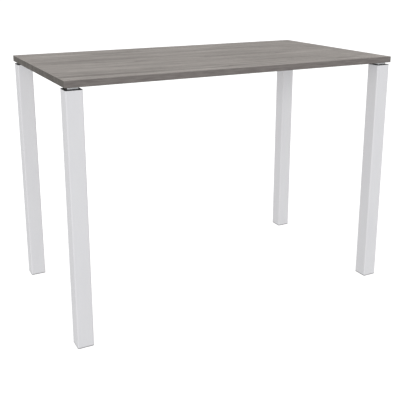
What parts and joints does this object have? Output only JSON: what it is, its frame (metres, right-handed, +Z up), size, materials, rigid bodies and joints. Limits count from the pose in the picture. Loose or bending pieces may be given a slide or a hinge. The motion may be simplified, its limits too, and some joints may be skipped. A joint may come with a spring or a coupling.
{
  "type": "standing meeting table",
  "caption": "Standing-height meeting table: rectangular wood-decor top carried on metal spacers above square white legs at its corners, with levelling feet.",
  "frame": {"origin": "on the floor, under the centre of the worktop", "axes": "+X along the long side, to the right seen from the front; +Y to the back; +Z up"},
  "size_m": [1.6, 0.87, 1.13],
  "materials": {
    "worktop_decor": "grey oak melamine, fine lengthwise grain",
    "edge_decor": "edging in the same grey oak decor",
    "leg_paint": "white powder coat, satin",
    "welded_steel": "plain mild steel",
    "black_plastic": "black, moulded",
    "spacer_chrome": "satin chrome plate",
    "plate_paint": "black powder coat",
    "foot_plastic": "grey, moulded",
    "zinc_steel": "bright zinc plate"
  },
  "bodies": {
    "table": {"worktop_board": "worktop_decor", "edge_band_front": "edge_decor", "edge_band_back": "edge_decor", "edge_band_left": "edge_decor", "edge_band_right": "edge_decor", "leg_tube_front_left": "leg_paint", "head_plate_front_left": "welded_steel", "base_plate_front_left": "welded_steel", "leg_cap_front_left": "black_plastic", "spacer_front_left": "spacer_chrome", "mounting_plate_front_left": "plate_paint", "leg_tube_front_right": "leg_paint", "head_plate_front_right": "welded_steel", "base_plate_front_right": "welded_steel", "leg_cap_front_right": "black_plastic", "spacer_front_right": "spacer_chrome", "mounting_plate_front_right": "plate_paint", "leg_tube_back_left": "leg_paint", "head_plate_back_left": "welded_steel", "base_plate_back_left": "welded_steel", "leg_cap_back_left": "black_plastic", "spacer_back_left": "spacer_chrome", "mounting_plate_back_left": "plate_paint", "leg_tube_back_right": "leg_paint", "head_plate_back_right": "welded_steel", "base_plate_back_right": "welded_steel", "leg_cap_back_right": "black_plastic", "spacer_back_right": "spacer_chrome", "mounting_plate_back_right": "plate_paint", "leg_bolts": "zinc_steel", "wood_screws": "zinc_steel"},
    "foot_front_left": {"foot_pad_front_left": "foot_plastic"},
    "screw_front_left": {"foot_screw_front_left": "zinc_steel"},
    "foot_front_right": {"foot_pad_front_right": "foot_plastic"},
    "screw_front_right": {"foot_screw_front_right": "zinc_steel"},
    "foot_back_left": {"foot_pad_back_left": "foot_plastic"},
    "screw_back_left": {"foot_screw_back_left": "zinc_steel"},
    "foot_back_right": {"foot_pad_back_right": "foot_plastic"},
    "screw_back_right": {"foot_screw_back_right": "zinc_steel"}
  },
  "joints": [
    {"name": "levelling_foot_front_left", "type": "slide", "parent": "table", "child": "foot_front_left", "axis": [0, 0, -1], "range_m": [0, 0.01]},
    {"name": "levelling_screw_front_left", "type": "hinge", "parent": "foot_front_left", "child": "screw_front_left", "pos_m": [-0.761, -0.396, 0.02], "axis": [0, 0, -1], "range_deg": [0, 2400]},
    {"name": "levelling_foot_front_right", "type": "slide", "parent": "table", "child": "foot_front_right", "axis": [0, 0, -1], "range_m": [0, 0.01]},
    {"name": "levelling_screw_front_right", "type": "hinge", "parent": "foot_front_right", "child": "screw_front_right", "pos_m": [0.761, -0.396, 0.02], "axis": [0, 0, -1], "range_deg": [0, 2400]},
    {"name": "levelling_foot_back_left", "type": "slide", "parent": "table", "child": "foot_back_left", "axis": [0, 0, -1], "range_m": [0, 0.01]},
    {"name": "levelling_screw_back_left", "type": "hinge", "parent": "foot_back_left", "child": "screw_back_left", "pos_m": [-0.761, 0.396, 0.02], "axis": [0, 0, -1], "range_deg": [0, 2400]},
    {"name": "levelling_foot_back_right", "type": "slide", "parent": "table", "child": "foot_back_right", "axis": [0, 0, -1], "range_m": [0, 0.01]},
    {"name": "levelling_screw_back_right", "type": "hinge", "parent": "foot_back_right", "child": "screw_back_right", "pos_m": [0.761, 0.396, 0.02], "axis": [0, 0, -1], "range_deg": [0, 2400]}
  ],
  "couplings": [
    {"joint": "levelling_foot_front_left", "follows": "levelling_screw_front_left", "m_per_rad": 0.00023873},
    {"joint": "levelling_foot_front_right", "follows": "levelling_screw_front_right", "m_per_rad": 0.00023873},
    {"joint": "levelling_foot_back_left", "follows": "levelling_screw_back_left", "m_per_rad": 0.00023873},
    {"joint": "levelling_foot_back_right", "follows": "levelling_screw_back_right", "m_per_rad": 0.00023873}
  ]
}
